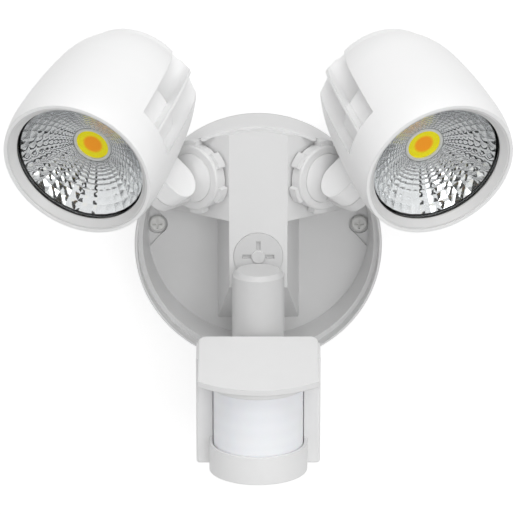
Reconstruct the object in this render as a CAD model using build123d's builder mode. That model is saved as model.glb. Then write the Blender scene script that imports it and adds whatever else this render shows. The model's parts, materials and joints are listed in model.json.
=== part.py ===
from build123d import *
import os
from math import cos, radians, sin, tan

os.makedirs("parts", exist_ok=True)

# Twin-head security light with a motion sensor, in millimetres.
# Origin: centre of the wall face. +Z is up, the wall is the plane Y = 0 and the light faces -Y.
# A "front" value is a distance out from the wall, so a front of 42 lies at Y = -42.

# ---- driving dimensions: clearances ----
slide_gap = 0.05          # radial running clearance of round fits
face_gap = 0.05           # between faces that turn against each other
body_gap = 0.3            # between pieces that pass each other

# ---- driving dimensions: canopy, the round base ----
gasket_thick = 2.0
gasket_width = 4.2
canopy_front_r = 61.0
canopy_taper = 2.5
canopy_depth = 37.0
lip_wall = 1.4
ledge_front = 28.5
ledge_width = 2.4
dish_floor_front = 7.5
dish_taper = 1.8
floor_wall = 2.4
rim_foot = 2.3

# ---- driving dimensions: T-shaped housing that stands in the dish ----
spine_front = 42.0
spine_half_w = 14.3
spine_foot_half_w = 20.3
ramp_top_z = -19.7
ramp_foot_z = -46.0
shoulder_yaw = 38.0
shoulder_bottom_z = 14.3
housing_wall = 2.6

# ---- driving dimensions: wall plate and screws ----
plate_thick = 1.6
plate_inset = 3.7
cable_hole_r = 12.0
box_screw_pcd = 88.9
box_screw_hole_r = 2.4
ground_screw_x = 26.0
ground_screw_z = -16.0
cover_screw_inset = 4.8
cover_screw_z = 2.8
cover_screw_r = 1.9
cover_head_r = 4.1
cover_head_high = 2.6
recess_w = 1.1
recess_long = 4.8
recess_deep = 1.0
pocket_r = 5.2
pocket_front = 5.0

# ---- driving dimensions: driver and terminals on the wall plate ----
driver_long = 64.0
driver_wide = 21.5
driver_high = 16.0
driver_bottom_z = 17.8
terminal_w = 20.0
terminal_long = 9.0
terminal_high = 7.5
terminal_z = -26.0
terminal_hole_r = 1.6

# ---- driving dimensions: swivel, lock nut and knuckle ----
swivel_x = 28.3
swivel_z = 35.0
seal_thick = 1.2
seal_r = 15.2
stem_r = 9.8
stem_long = 6.0
collar_r = 12.2
collar_high = 7.9
dome_top = 10.6
nut_high = 6.4
nut_root_r = 16.2
nut_lug_r = 18.3
nut_lug_w = 8.0
nut_lugs = 6
nut_lug_turn = 2.0
nut_relief = 0.7
nut_bevel = 0.7
retainer_r = 12.0
retainer_thick = 2.4
pivot_out = 21.0
cheek_thick = 6.0
cheek_r = 9.4
cheek_reach = 15.4
cheek_flare = 5.0
leg_thick = 11.0
pivot_screw_r = 2.4
pivot_head_r = 4.2
pivot_head_high = 2.4
pivot_screw_bite = 7.5

# ---- driving dimensions: lamp heads ----
swivel_angle = 34.4
tilt_angle = 27.7
pivot_setback = 36.2
pivot_drop = 45.5
lip_front = 5.0
lip_r = 37.4
head_r = 39.1
head_r_back = 8.0
shoulder_r = 39.02
belly_back = 50.0
tail_back = 69.0
roof_belly_r = 35.9
roof_tail_r = 28.8
roof_face_r = 22.0
roof_long = 77.0
roof_bulge = 1.6
sink_belly_r = 36.5
sink_tail_r = 32.8
sink_face_r = 23.0
sink_long = 80.0
sink_bulge = 0.4
ring_bore_r = 35.8
ring_mouth_r = 34.8
ring_throat_r = 32.3
ring_front = 4.5
ring_back = 0.6
glass_r = 35.4
head_gasket_thick = 0.5
head_gasket_bore_r = 32.1
glass_thick = 1.6
flange_thick = 0.8
cup_r = 32.6
cup_straight = 8.0
cup_depth = 18.0
cup_floor_r = 26.5
reflector_r = 31.4
reflector_hole_r = 9.9
reflector_depth = 13.3
reflector_wall = 1.0
slot_front = 14.5
slot_top = -0.5
slot_high = 11.2
fin_pitch = 12.8
core_r = 30.9
core_back = 41.9
web_half_w = 20.0
slot_fillet = 7.0

# ---- driving dimensions: light source ----
board_r = 15.0
board_thick = 1.4
emitter_r = 8.2
emitter_thick = 0.9
holder_r = 9.6
holder_rise = 1.7
holder_flange_r = 12.5
holder_flange_thick = 0.35

# ---- driving dimensions: sensor arm ----
disc_z = -3.7
disc_r = 12.1
disc_proud = 0.7
slot_w = 2.0
slot_in = 3.6
slot_out = 7.8
slot_deep = 1.2
hub_r = 3.4
hub_proud = 0.9
arm_bolt_r = 2.0
arm_bolt_long = 9.5
arm_nut_r = 4.6
arm_nut_high = 3.0
arm_plate_w = 22.0
arm_plate_high = 29.0
arm_plate_bottom_z = -16.9
arm_plate_thick = 1.6
post_r = 12.75
post_gap = 1.25
post_top_z = -6.4
post_bevel = 2.2
neck_half_w = 8.0
neck_high = 6.0

# ---- driving dimensions: sensor pivot ----
stub_r = 10.4
stub_top_z = -51.5
stub_bottom_z = -71.0
hinge_z = -60.0
sleeve_wall = 3.4
sleeve_long = 16.5
trunnion_r = 4.6
trunnion_long = 4.2
lug_thick = 3.6
lug_r = 7.2
tilt_screw_r = 1.7
tilt_head_r = 5.8
tilt_head_high = 2.0
clip_thick = 1.2
clip_r = 12.6
clip_groove = 1.1

# ---- driving dimensions: sensor ----
cover_front = 74.6
cover_thick = 3.0
box_front = 90.0
box_half_w = 30.0
box_bottom_z = -94.0
box_wall = 2.0
box_corner_r = 1.8
box_inner_r = 1.0
box_edge_r = 1.2
hood_front = 74.0
hood_back_z = -34.2
hood_slope = 12.4
hood_half_w = 28.9
hood_side = 42.2
hood_nose = 50.7
hood_thick = 3.0
hood_corner_r = 4.0
lens_front = 96.0
lens_r = 21.6
lens_wall = 1.2
lens_rim_r = 23.2
lens_rim_z = -51.2
lens_top_z = -48.0
cup_rim_z = -80.4
cup_ring_r = 23.7
cup_wall = 1.7
cup_floor = 1.8
lens_overlap = 3.0
sensor_board_w = 40.0
sensor_board_high = 34.0
sensor_board_thick = 1.6
sensor_board_front = 82.4
pyro_r = 4.1
pyro_high = 4.3
pyro_z = -64.0
knob_r = 3.4
knob_pitch = 12.0
knob_front = 103.0
knob_proud = 1.6
knob_flange_r = 4.4
knob_flange_thick = 1.0
knob_stalk_r = 1.5
knob_stalk_long = 2.2
standoff_r = 1.8
dial_board_w = 34.0
dial_board_deep = 16.0
dial_board_setback = 2.0
dial_post_setback = 6.5

# ---- values worked out from the dimensions above ----
lip_inner_r = canopy_front_r - lip_wall
dish_top_r = lip_inner_r - ledge_width
dish_floor_r = dish_top_r - dish_taper
canopy_back_r = canopy_front_r - canopy_taper
rim_inner_r = canopy_back_r - rim_foot
plate_r = rim_inner_r - plate_inset
cover_screw_x = dish_floor_r - cover_screw_inset
form_back = dish_floor_front - floor_wall / 2
shoulder_slope = tan(radians(shoulder_yaw))
swivel_front = spine_front - (swivel_x - spine_half_w) * shoulder_slope
wall_inside = spine_front - housing_wall
dome_rise = dome_top - collar_high
dome_r = (collar_r ** 2 + dome_rise ** 2) / (2 * dome_rise)
cheek_inside = leg_thick / 2 + body_gap
cheek_outside = cheek_inside + cheek_thick
ring_seat = glass_thick + head_gasket_thick - ring_back + flange_thick
board_front = cup_depth - board_thick
post_front = spine_front + post_gap + post_r
disc_back = wall_inside + face_gap
sleeve_bore_r = stub_r + slide_gap
sleeve_r = sleeve_bore_r + sleeve_wall
sleeve_top_z = stub_top_z - face_gap
sleeve_bottom_z = sleeve_top_z - sleeve_long

dial_top_z = box_bottom_z + cup_floor + face_gap + knob_flange_thick
dial_board_z = dial_top_z + knob_stalk_long - 1.0

# Directions of the left head: along the swivel axis, along the pivot screw, forwards and up.
outward = Vector(-sin(radians(shoulder_yaw)), -cos(radians(shoulder_yaw)), 0)
level = Vector(cos(radians(shoulder_yaw)), -sin(radians(shoulder_yaw)), 0)
pin_way = level * cos(radians(swivel_angle)) + Vector(0, 0, 1) * sin(radians(swivel_angle))
rise_way = outward.cross(pin_way)
forward = outward * cos(radians(tilt_angle)) - rise_way * sin(radians(tilt_angle))
head_up = rise_way * cos(radians(tilt_angle)) + outward * sin(radians(tilt_angle))
backward = forward * -1

swivel_base = Vector(-swivel_x, -swivel_front, swivel_z)
pivot = swivel_base + outward * pivot_out
aperture = pivot + forward * pivot_setback + head_up * pivot_drop

wall_plane = Plane.XZ
swivel_plane = Plane(origin=swivel_base, x_dir=pin_way, z_dir=outward)
swivel_section = Plane(origin=swivel_base, x_dir=pin_way, z_dir=pin_way.cross(outward))
swivel_axis = Axis(swivel_base, outward)
knuckle_plane = Plane(origin=pivot, x_dir=outward, z_dir=pin_way)
pivot_axis = Axis(pivot, pin_way)
leg_plane = Plane(origin=pivot, x_dir=backward, z_dir=pin_way)
head_plane = Plane(origin=aperture, x_dir=pin_way, z_dir=backward)
head_section = Plane(origin=aperture, x_dir=pin_way, z_dir=pin_way.cross(backward))
head_side = Plane(origin=aperture, x_dir=backward, z_dir=pin_way)
head_axis = Axis(aperture, backward)
roof_plane = Plane(origin=aperture + head_up * slot_top, x_dir=pin_way, z_dir=head_up)
hood_plane = Plane(
    origin=(0, -hood_front, hood_back_z), x_dir=(1, 0, 0),
    z_dir=(0, -sin(radians(hood_slope)), cos(radians(hood_slope))),
)

# ======================= wall side =======================

with BuildPart() as base_gasket:
    with BuildSketch(wall_plane):
        Circle(canopy_back_r - 0.2)
        Circle(canopy_back_r - 0.2 - gasket_width, mode=Mode.SUBTRACT)
    extrude(amount=gasket_thick)
base_gasket.part.label = "base_gasket"
export_step(base_gasket.part, "parts/base_gasket.step")

with BuildPart() as wall_plate:
    with BuildSketch(wall_plane):
        Circle(plate_r)
        Circle(cable_hole_r, mode=Mode.SUBTRACT)
        with PolarLocations(box_screw_pcd / 2, 2, start_angle=90):
            Circle(box_screw_hole_r, mode=Mode.SUBTRACT)
        with Locations((-cover_screw_x, cover_screw_z), (cover_screw_x, cover_screw_z)):
            Circle(cover_screw_r, mode=Mode.SUBTRACT)
        with Locations((ground_screw_x, ground_screw_z)):
            Circle(cover_screw_r, mode=Mode.SUBTRACT)
    extrude(amount=plate_thick)
wall_plate.part.label = "wall_plate"
export_step(wall_plate.part, "parts/wall_plate.step")

with BuildPart() as ground_screw:
    with BuildSketch(wall_plane):
        with Locations((ground_screw_x, ground_screw_z)):
            Circle(cover_screw_r)
    extrude(amount=plate_thick)
    with BuildSketch(wall_plane.offset(plate_thick)):
        with Locations((ground_screw_x, ground_screw_z)):
            Circle(cover_head_r)
    extrude(amount=cover_head_high)
    with BuildSketch(wall_plane.offset(plate_thick + cover_head_high - recess_deep)):
        with Locations((ground_screw_x, ground_screw_z)):
            Rectangle(recess_w, 2 * cover_head_r)
    extrude(amount=recess_deep, mode=Mode.SUBTRACT)
ground_screw.part.label = "ground_screw"
export_step(ground_screw.part, "parts/ground_screw.step")

with BuildPart() as led_driver:
    with BuildSketch(wall_plane.offset(plate_thick)):
        with Locations((0, driver_bottom_z + driver_wide / 2)):
            RectangleRounded(driver_long, driver_wide, 3)
    extrude(amount=driver_high)
    chamfer(led_driver.faces().sort_by(Axis.Y)[0].edges(), 0.8)
led_driver.part.label = "led_driver"
export_step(led_driver.part, "parts/led_driver.step")

with BuildPart() as terminal_block:
    with BuildSketch(wall_plane.offset(plate_thick)):
        with Locations((0, terminal_z)):
            Rectangle(terminal_w, terminal_long)
    extrude(amount=terminal_high)
    chamfer(terminal_block.faces().sort_by(Axis.Y)[0].edges().filter_by(Axis.X), 1.2)
    with BuildSketch(wall_plane.offset(plate_thick + terminal_high)):
        with Locations((0, terminal_z)):
            with GridLocations(terminal_w / 3, 1, 3, 1):
                Circle(terminal_hole_r)
    extrude(amount=-terminal_high / 2, mode=Mode.SUBTRACT)
terminal_block.part.label = "terminal_block"
export_step(terminal_block.part, "parts/terminal_block.step")

# ======================= canopy =======================

# Outside form of the T-shaped housing: a tapered spine with a ramp, and two yawed shoulders.
with BuildPart() as housing_form:
    with BuildSketch(Plane.YZ):
        Polygon(
            (-form_back, lip_inner_r), (-spine_front, lip_inner_r), (-spine_front, ramp_top_z),
            (-dish_floor_front, ramp_foot_z), (-form_back, ramp_foot_z), align=None,
        )
    extrude(amount=spine_foot_half_w, both=True)
    with BuildSketch(Plane.XY.offset(ramp_foot_z)):
        Polygon(
            (-spine_foot_half_w, 0), (-spine_foot_half_w, -dish_floor_front),
            (-spine_half_w, -spine_front), (spine_half_w, -spine_front),
            (spine_foot_half_w, -dish_floor_front), (spine_foot_half_w, 0), align=None,
        )
    extrude(amount=lip_inner_r - ramp_foot_z, mode=Mode.INTERSECT)
    shoulder_end = spine_front - (lip_inner_r - spine_half_w) * shoulder_slope
    with BuildSketch(Plane.XY.offset(shoulder_bottom_z)):
        Polygon(
            (-lip_inner_r, 0), (-lip_inner_r, -max(shoulder_end, 0.1)),
            (-spine_half_w, -spine_front), (spine_half_w, -spine_front),
            (lip_inner_r, -max(shoulder_end, 0.1)), (lip_inner_r, 0), align=None,
        )
    extrude(amount=lip_inner_r)
    with BuildSketch(Plane.XY):
        Polygon(
            (0, -form_back), (dish_floor_r + 0.5, -form_back), (dish_top_r + 0.5, -ledge_front),
            (lip_inner_r + 0.01, -ledge_front), (lip_inner_r + 0.01, -spine_front),
            (0, -spine_front), align=None,
        )
    revolve(axis=Axis.Y, mode=Mode.INTERSECT)

# The same form, one wall thickness in, is hollow and open towards the wall.
with BuildPart() as housing_hollow:
    with BuildSketch(Plane.YZ):
        Polygon(
            (0, rim_inner_r), (-wall_inside, rim_inner_r), (-wall_inside, ramp_top_z + housing_wall),
            (-dish_floor_front + housing_wall, ramp_foot_z + 2 * housing_wall),
            (0, ramp_foot_z + 2 * housing_wall), align=None,
        )
    extrude(amount=spine_half_w - housing_wall, both=True)
    hollow_reach = rim_inner_r - housing_wall
    hollow_front = spine_front - housing_wall / cos(radians(shoulder_yaw))
    hollow_end = hollow_front - (hollow_reach - spine_half_w) * shoulder_slope
    with BuildSketch(Plane.XY.offset(shoulder_bottom_z + housing_wall)):
        Polygon(
            (-hollow_reach, 0), (-hollow_reach, -hollow_end), (-spine_half_w, -hollow_front),
            (spine_half_w, -hollow_front), (hollow_reach, -hollow_end), (hollow_reach, 0), align=None,
        )
    extrude(amount=rim_inner_r)
    with BuildSketch(wall_plane):
        Circle(rim_inner_r)
    extrude(amount=spine_front, mode=Mode.INTERSECT)

with BuildPart() as nut_recess:
    with BuildSketch(swivel_plane):
        Circle(nut_lug_r + nut_relief)
    extrude(amount=pivot_out)
    with BuildSketch(swivel_plane):
        Circle(stem_r + slide_gap)
    extrude(amount=-stem_long)
    mirror(about=Plane.YZ)

with BuildPart() as screw_pocket:
    with BuildSketch(wall_plane.offset(pocket_front)):
        with Locations((-cover_screw_x, cover_screw_z)):
            Circle(pocket_r)
    extrude(amount=spine_front)
    with BuildSketch(wall_plane.offset(form_back)):
        Polygon(
            (-cover_screw_x + 0.45 * pocket_r, cover_screw_z + 0.89 * pocket_r),
            (-dish_floor_r + 1.0, cover_screw_z + 2.2 * pocket_r),
            (-dish_floor_r, cover_screw_z),
            (-dish_floor_r + 1.0, cover_screw_z - 2.2 * pocket_r),
            (-cover_screw_x + 0.45 * pocket_r, cover_screw_z - 0.89 * pocket_r), align=None,
        )
    extrude(amount=spine_front)
    with BuildSketch(wall_plane):
        Circle(dish_floor_r - body_gap)
    extrude(amount=spine_front, mode=Mode.INTERSECT)
    with BuildSketch(wall_plane):
        with Locations((-cover_screw_x, cover_screw_z)):
            Circle(cover_screw_r + body_gap)
    extrude(amount=spine_front)
    mirror(about=Plane.YZ)

with BuildPart() as screw_boss:
    with BuildSketch(wall_plane.offset(gasket_thick)):
        with Locations((-cover_screw_x, cover_screw_z)):
            Circle(pocket_r + 0.6)
    extrude(amount=pocket_front - gasket_thick)
    with BuildSketch(wall_plane):
        Circle(rim_inner_r + 1)
    extrude(amount=spine_front, mode=Mode.INTERSECT)
    mirror(about=Plane.YZ)

# One moulding: rim, ledge and dish are turned, then the housing is raised from the dish.
with BuildPart() as canopy:
    with BuildSketch(Plane.XY):
        with BuildLine():
            Polyline(
                (0, -dish_floor_front), (dish_floor_r, -dish_floor_front),
                (dish_top_r, -ledge_front), (lip_inner_r, -ledge_front),
                (lip_inner_r, -canopy_depth), (canopy_front_r - 0.5, -canopy_depth),
                (canopy_front_r, -canopy_depth + 1.5), (canopy_back_r, -gasket_thick),
                (rim_inner_r, -gasket_thick), (rim_inner_r, -dish_floor_front + floor_wall),
                (0, -dish_floor_front + floor_wall), close=True,
            )
        make_face()
    revolve(axis=Axis.Y)
    add(housing_form.part)
    add(housing_hollow.part, mode=Mode.SUBTRACT)
    add(screw_boss.part)
    add(nut_recess.part, mode=Mode.SUBTRACT)
    add(screw_pocket.part, mode=Mode.SUBTRACT)
    with BuildSketch(wall_plane.offset(spine_front)):
        with Locations((0, disc_z)):
            Circle(disc_r + slide_gap)
    extrude(amount=-housing_wall - 1, mode=Mode.SUBTRACT)
canopy.part.label = "canopy"
export_step(canopy.part, "parts/canopy.step")

with BuildPart() as cover_screws:
    with BuildSketch(wall_plane.offset(0.2)):
        with Locations((-cover_screw_x, cover_screw_z), (cover_screw_x, cover_screw_z)):
            Circle(cover_screw_r)
    extrude(amount=pocket_front)
    with BuildSketch(wall_plane.offset(pocket_front)):
        with Locations((-cover_screw_x, cover_screw_z), (cover_screw_x, cover_screw_z)):
            Circle(cover_head_r)
    extrude(amount=cover_head_high)
    chamfer(cover_screws.edges().filter_by(GeomType.CIRCLE).group_by(Axis.Y)[0], 0.8)
    with BuildSketch(wall_plane.offset(pocket_front + cover_head_high - recess_deep)):
        with Locations((-cover_screw_x, cover_screw_z), (cover_screw_x, cover_screw_z)):
            Rectangle(recess_w, recess_long)
            Rectangle(recess_long, recess_w)
    extrude(amount=recess_deep, mode=Mode.SUBTRACT)
cover_screws.part.label = "cover_screws"
export_step(cover_screws.part, "parts/cover_screws.step")

# ======================= swivels, left and right =======================

with BuildPart() as swivel_seal_left:
    with BuildSketch(swivel_plane):
        Circle(seal_r)
        Circle(stem_r + slide_gap, mode=Mode.SUBTRACT)
    extrude(amount=seal_thick)
swivel_seal_left.part.label = "swivel_seal_left"
export_step(swivel_seal_left.part, "parts/swivel_seal_left.step")

with BuildPart() as swivel_seal_right:
    mirror(swivel_seal_left.part, about=Plane.YZ)
swivel_seal_right.part.label = "swivel_seal_right"
export_step(swivel_seal_right.part, "parts/swivel_seal_right.step")

with BuildPart() as lock_nut_left:
    with BuildSketch(swivel_plane.offset(seal_thick + face_gap)):
        Circle(nut_root_r)
    extrude(amount=nut_high)
    chamfer(lock_nut_left.faces().sort_by(swivel_axis)[-1].edges(), nut_bevel)
    with BuildSketch(swivel_plane.offset(seal_thick + face_gap)):
        with PolarLocations(nut_root_r, nut_lugs, start_angle=nut_lug_turn):
            Rectangle(nut_lug_w, nut_lug_w)
    extrude(amount=0.75 * nut_high)
    with BuildSketch(swivel_plane):
        Circle(nut_lug_r)
        Circle(collar_r + slide_gap, mode=Mode.SUBTRACT)
    extrude(amount=2 * nut_high, mode=Mode.INTERSECT)
lock_nut_left.part.label = "lock_nut_left"
export_step(lock_nut_left.part, "parts/lock_nut_left.step")

with BuildPart() as lock_nut_right:
    mirror(lock_nut_left.part, about=Plane.YZ)
lock_nut_right.part.label = "lock_nut_right"
export_step(lock_nut_right.part, "parts/lock_nut_right.step")

# The cheek stands on the swivel's collar, beside the leg of the head.
with BuildPart() as knuckle_cheek:
    with BuildSketch(knuckle_plane.offset(-cheek_outside)):
        Circle(cheek_r)
        with Locations((-pivot_out / 2, 0)):
            Rectangle(pivot_out, 2 * cheek_r)
    extrude(amount=cheek_thick)
    with BuildSketch(swivel_section):
        Polygon(
            (0, collar_high / 2), (collar_r, collar_high / 2), (collar_r, collar_high + body_gap),
            (cheek_reach, collar_high + cheek_flare),
            (cheek_reach, pivot_out + 2 * cheek_r), (0, pivot_out + 2 * cheek_r), align=None,
        )
    revolve(axis=swivel_axis, mode=Mode.INTERSECT)

with BuildPart() as swivel_left:
    with BuildSketch(swivel_section):
        with BuildLine():
            Polyline(
                (0, dome_top), (0, -stem_long), (stem_r, -stem_long),
                (stem_r, seal_thick + face_gap), (collar_r, seal_thick + face_gap),
                (collar_r, collar_high),
            )
            dome_middle = dome_top - dome_r + (dome_r ** 2 - (collar_r / 2) ** 2) ** 0.5
            ThreePointArc((collar_r, collar_high), (collar_r / 2, dome_middle), (0, dome_top))
        make_face()
    revolve(axis=swivel_axis)
    add(knuckle_cheek.part)
    with BuildSketch(knuckle_plane):
        Circle(pivot_screw_r + slide_gap)
    extrude(amount=-2 * cheek_outside, mode=Mode.SUBTRACT)
swivel_left.part.label = "swivel_left"
export_step(swivel_left.part, "parts/swivel_left.step")

with BuildPart() as swivel_right:
    mirror(swivel_left.part, about=Plane.YZ)
swivel_right.part.label = "swivel_right"
export_step(swivel_right.part, "parts/swivel_right.step")

with BuildPart() as swivel_retainer_left:
    with BuildSketch(swivel_plane.offset(-housing_wall - face_gap)):
        Circle(retainer_r)
        Circle(stem_r, mode=Mode.SUBTRACT)
    extrude(amount=-retainer_thick)
swivel_retainer_left.part.label = "swivel_retainer_left"
export_step(swivel_retainer_left.part, "parts/swivel_retainer_left.step")

with BuildPart() as swivel_retainer_right:
    mirror(swivel_retainer_left.part, about=Plane.YZ)
swivel_retainer_right.part.label = "swivel_retainer_right"
export_step(swivel_retainer_right.part, "parts/swivel_retainer_right.step")

with BuildPart() as pivot_screw_left:
    with BuildSketch(knuckle_plane.offset(-cheek_outside - face_gap)):
        Circle(pivot_screw_r)
    extrude(amount=cheek_thick + body_gap + face_gap + pivot_screw_bite)
    with BuildSketch(knuckle_plane.offset(-cheek_outside - face_gap)):
        Circle(pivot_head_r)
    extrude(amount=-pivot_head_high)
    chamfer(pivot_screw_left.faces().sort_by(pivot_axis)[0].edges(), 0.6)
    with BuildSketch(knuckle_plane.offset(-cheek_outside - face_gap - pivot_head_high)):
        Rectangle(recess_w, recess_long)
        Rectangle(recess_long, recess_w)
    extrude(amount=recess_deep, mode=Mode.SUBTRACT)
pivot_screw_left.part.label = "pivot_screw_left"
export_step(pivot_screw_left.part, "parts/pivot_screw_left.step")

with BuildPart() as pivot_screw_right:
    mirror(pivot_screw_left.part, about=Plane.YZ)
pivot_screw_right.part.label = "pivot_screw_right"
export_step(pivot_screw_right.part, "parts/pivot_screw_right.step")

# ======================= lamp heads, left and right =======================

# The side slots between the fins stop at the cup's wall in front and at the web inside, where
# their floors curve up into it.
with BuildPart() as head_slots:
    with BuildSketch(head_plane.offset(slot_front)):
        with Locations((web_half_w + head_r / 2, slot_high / 2 - slot_top)):
            Rectangle(head_r, slot_high)
        with Locations((web_half_w + head_r / 2, fin_pitch + slot_high / 2 - slot_top)):
            Rectangle(head_r, slot_high)
        slot_corners = vertices().group_by(Axis.X)[0].sort_by(Axis.Y)
        fillet([slot_corners[1], slot_corners[3]], slot_fillet)
        mirror(about=Plane.YZ)
    extrude(amount=sink_long)
    with BuildSketch(head_plane.offset(slot_front)):
        Circle(core_r)
    extrude(amount=core_back - slot_front, mode=Mode.SUBTRACT)


def head_turning(belly_r, tail_r, face_r, long, bulge):
    """Half section of the head, turned about its axis: cup in front, rounded tail behind."""
    tail_start = Vector(tail_r, tail_back)
    tail_end = Vector(face_r, long)
    tail_chord = tail_end - tail_start
    tail_middle = (tail_start + tail_end) / 2 + Vector(tail_chord.Y, -tail_chord.X).normalized() * bulge
    with BuildSketch(head_section) as section:
        with BuildLine():
            front = TangentArc((head_r, head_r_back), (lip_r, -lip_front), tangent=(0, -1))
            shoulder = TangentArc((head_r, head_r_back), (shoulder_r, slot_front), tangent=(0, 1))
            side = TangentArc(shoulder @ 1, (belly_r, belly_back), tangent=shoulder % 1)
            TangentArc(side @ 1, tail_start, tangent=side % 1)
            ThreePointArc(tail_start, tail_middle, tail_end)
            Polyline(
                tail_end, (0, long), (0, cup_depth), (cup_floor_r, cup_depth),
                (cup_r, cup_straight), (cup_r, ring_seat),
                (ring_bore_r, ring_seat), (ring_bore_r, -lip_front), front @ 1,
            )
        make_face()
    return section.sketch


# The roof tapers more than the finned heat sink under it, whose fins stand proud at the tail.
with BuildPart() as roof_half:
    add(head_turning(roof_belly_r, roof_tail_r, roof_face_r, roof_long, roof_bulge))
    revolve(axis=head_axis)
    split(bisect_by=roof_plane, keep=Keep.TOP)

with BuildPart() as sink_half:
    add(head_turning(sink_belly_r, sink_tail_r, sink_face_r, sink_long, sink_bulge))
    revolve(axis=head_axis)
    split(bisect_by=roof_plane, keep=Keep.BOTTOM)

with BuildPart() as head_housing_left:
    add(roof_half.part)
    add(sink_half.part)
    add(head_slots.part, mode=Mode.SUBTRACT)
    with BuildSketch(knuckle_plane.offset(-leg_thick / 2)):
        Circle(cheek_r + body_gap)
    extrude(amount=-cheek_thick - 2 * body_gap, mode=Mode.SUBTRACT)
    with BuildSketch(leg_plane):
        Circle(cheek_r)
        with Locations((0, 0.75 * cheek_r)):
            Rectangle(2 * cheek_r, 1.5 * cheek_r)
    extrude(amount=leg_thick / 2, both=True)
    with BuildSketch(knuckle_plane.offset(-leg_thick / 2)):
        Circle(pivot_screw_r)
    extrude(amount=pivot_screw_bite, mode=Mode.SUBTRACT)
head_housing_left.part.label = "head_housing_left"
export_step(head_housing_left.part, "parts/head_housing_left.step")

with BuildPart() as head_housing_right:
    mirror(head_housing_left.part, about=Plane.YZ)
head_housing_right.part.label = "head_housing_right"
export_step(head_housing_right.part, "parts/head_housing_right.step")

with BuildPart() as retaining_ring_left:
    with BuildSketch(head_section):
        Polygon(
            (ring_bore_r, -ring_front), (ring_bore_r, -ring_back), (ring_throat_r, -ring_back),
            (ring_throat_r, -ring_back - 0.8), (ring_mouth_r, -ring_front), align=None,
        )
    revolve(axis=head_axis)
retaining_ring_left.part.label = "retaining_ring_left"
export_step(retaining_ring_left.part, "parts/retaining_ring_left.step")

with BuildPart() as retaining_ring_right:
    mirror(retaining_ring_left.part, about=Plane.YZ)
retaining_ring_right.part.label = "retaining_ring_right"
export_step(retaining_ring_right.part, "parts/retaining_ring_right.step")

with BuildPart() as glass_gasket_left:
    with BuildSketch(head_plane.offset(-ring_back)):
        Circle(glass_r)
        Circle(head_gasket_bore_r, mode=Mode.SUBTRACT)
    extrude(amount=head_gasket_thick)
glass_gasket_left.part.label = "glass_gasket_left"
export_step(glass_gasket_left.part, "parts/glass_gasket_left.step")

with BuildPart() as glass_gasket_right:
    mirror(glass_gasket_left.part, about=Plane.YZ)
glass_gasket_right.part.label = "glass_gasket_right"
export_step(glass_gasket_right.part, "parts/glass_gasket_right.step")

with BuildPart() as head_glass_left:
    with BuildSketch(head_plane.offset(head_gasket_thick - ring_back)):
        Circle(glass_r)
    extrude(amount=glass_thick)
head_glass_left.part.label = "head_glass_left"
export_step(head_glass_left.part, "parts/head_glass_left.step")

with BuildPart() as head_glass_right:
    mirror(head_glass_left.part, about=Plane.YZ)
head_glass_right.part.label = "head_glass_right"
export_step(head_glass_right.part, "parts/head_glass_right.step")

reflector_front = ring_seat - flange_thick
reflector_back = reflector_front + reflector_depth
reflector_mid_r = reflector_hole_r + 0.62 * (reflector_r - reflector_hole_r)
reflector_mid_back = reflector_front + 0.53 * reflector_depth
with BuildPart() as reflector_left:
    with BuildSketch(head_section):
        with BuildLine():
            bowl = ThreePointArc(
                (reflector_r, reflector_front), (reflector_mid_r, reflector_mid_back),
                (reflector_hole_r, reflector_back),
            )
            shell = ThreePointArc(
                (reflector_r + reflector_wall, ring_seat),
                (reflector_mid_r + 0.5 * reflector_wall, reflector_mid_back + 0.9 * reflector_wall),
                (reflector_hole_r, reflector_back + reflector_wall),
            )
            Line(bowl @ 1, shell @ 1)
            Polyline(shell @ 0, (glass_r, ring_seat), (glass_r, reflector_front), bowl @ 0)
        make_face()
    revolve(axis=head_axis)
reflector_left.part.label = "reflector_left"
export_step(reflector_left.part, "parts/reflector_left.step")

with BuildPart() as reflector_right:
    mirror(reflector_left.part, about=Plane.YZ)
reflector_right.part.label = "reflector_right"
export_step(reflector_right.part, "parts/reflector_right.step")

with BuildPart() as led_board_left:
    with BuildSketch(head_plane.offset(board_front)):
        Circle(board_r)
    extrude(amount=board_thick)
led_board_left.part.label = "led_board_left"
export_step(led_board_left.part, "parts/led_board_left.step")

with BuildPart() as led_board_right:
    mirror(led_board_left.part, about=Plane.YZ)
led_board_right.part.label = "led_board_right"
export_step(led_board_right.part, "parts/led_board_right.step")

with BuildPart() as led_emitter_left:
    with BuildSketch(head_plane.offset(board_front)):
        Circle(emitter_r)
    extrude(amount=-emitter_thick)
led_emitter_left.part.label = "led_emitter_left"
export_step(led_emitter_left.part, "parts/led_emitter_left.step")

with BuildPart() as led_emitter_right:
    mirror(led_emitter_left.part, about=Plane.YZ)
led_emitter_right.part.label = "led_emitter_right"
export_step(led_emitter_right.part, "parts/led_emitter_right.step")

with BuildPart() as led_holder_left:
    with BuildSketch(head_plane.offset(board_front)):
        Circle(holder_flange_r)
        Circle(emitter_r, mode=Mode.SUBTRACT)
    extrude(amount=-holder_flange_thick)
    with BuildSketch(head_plane.offset(board_front)):
        Circle(holder_r)
        Circle(emitter_r, mode=Mode.SUBTRACT)
    extrude(amount=-holder_rise)
led_holder_left.part.label = "led_holder_left"
export_step(led_holder_left.part, "parts/led_holder_left.step")

with BuildPart() as led_holder_right:
    mirror(led_holder_left.part, about=Plane.YZ)
led_holder_right.part.label = "led_holder_right"
export_step(led_holder_right.part, "parts/led_holder_right.step")

# ======================= sensor arm =======================

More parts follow.
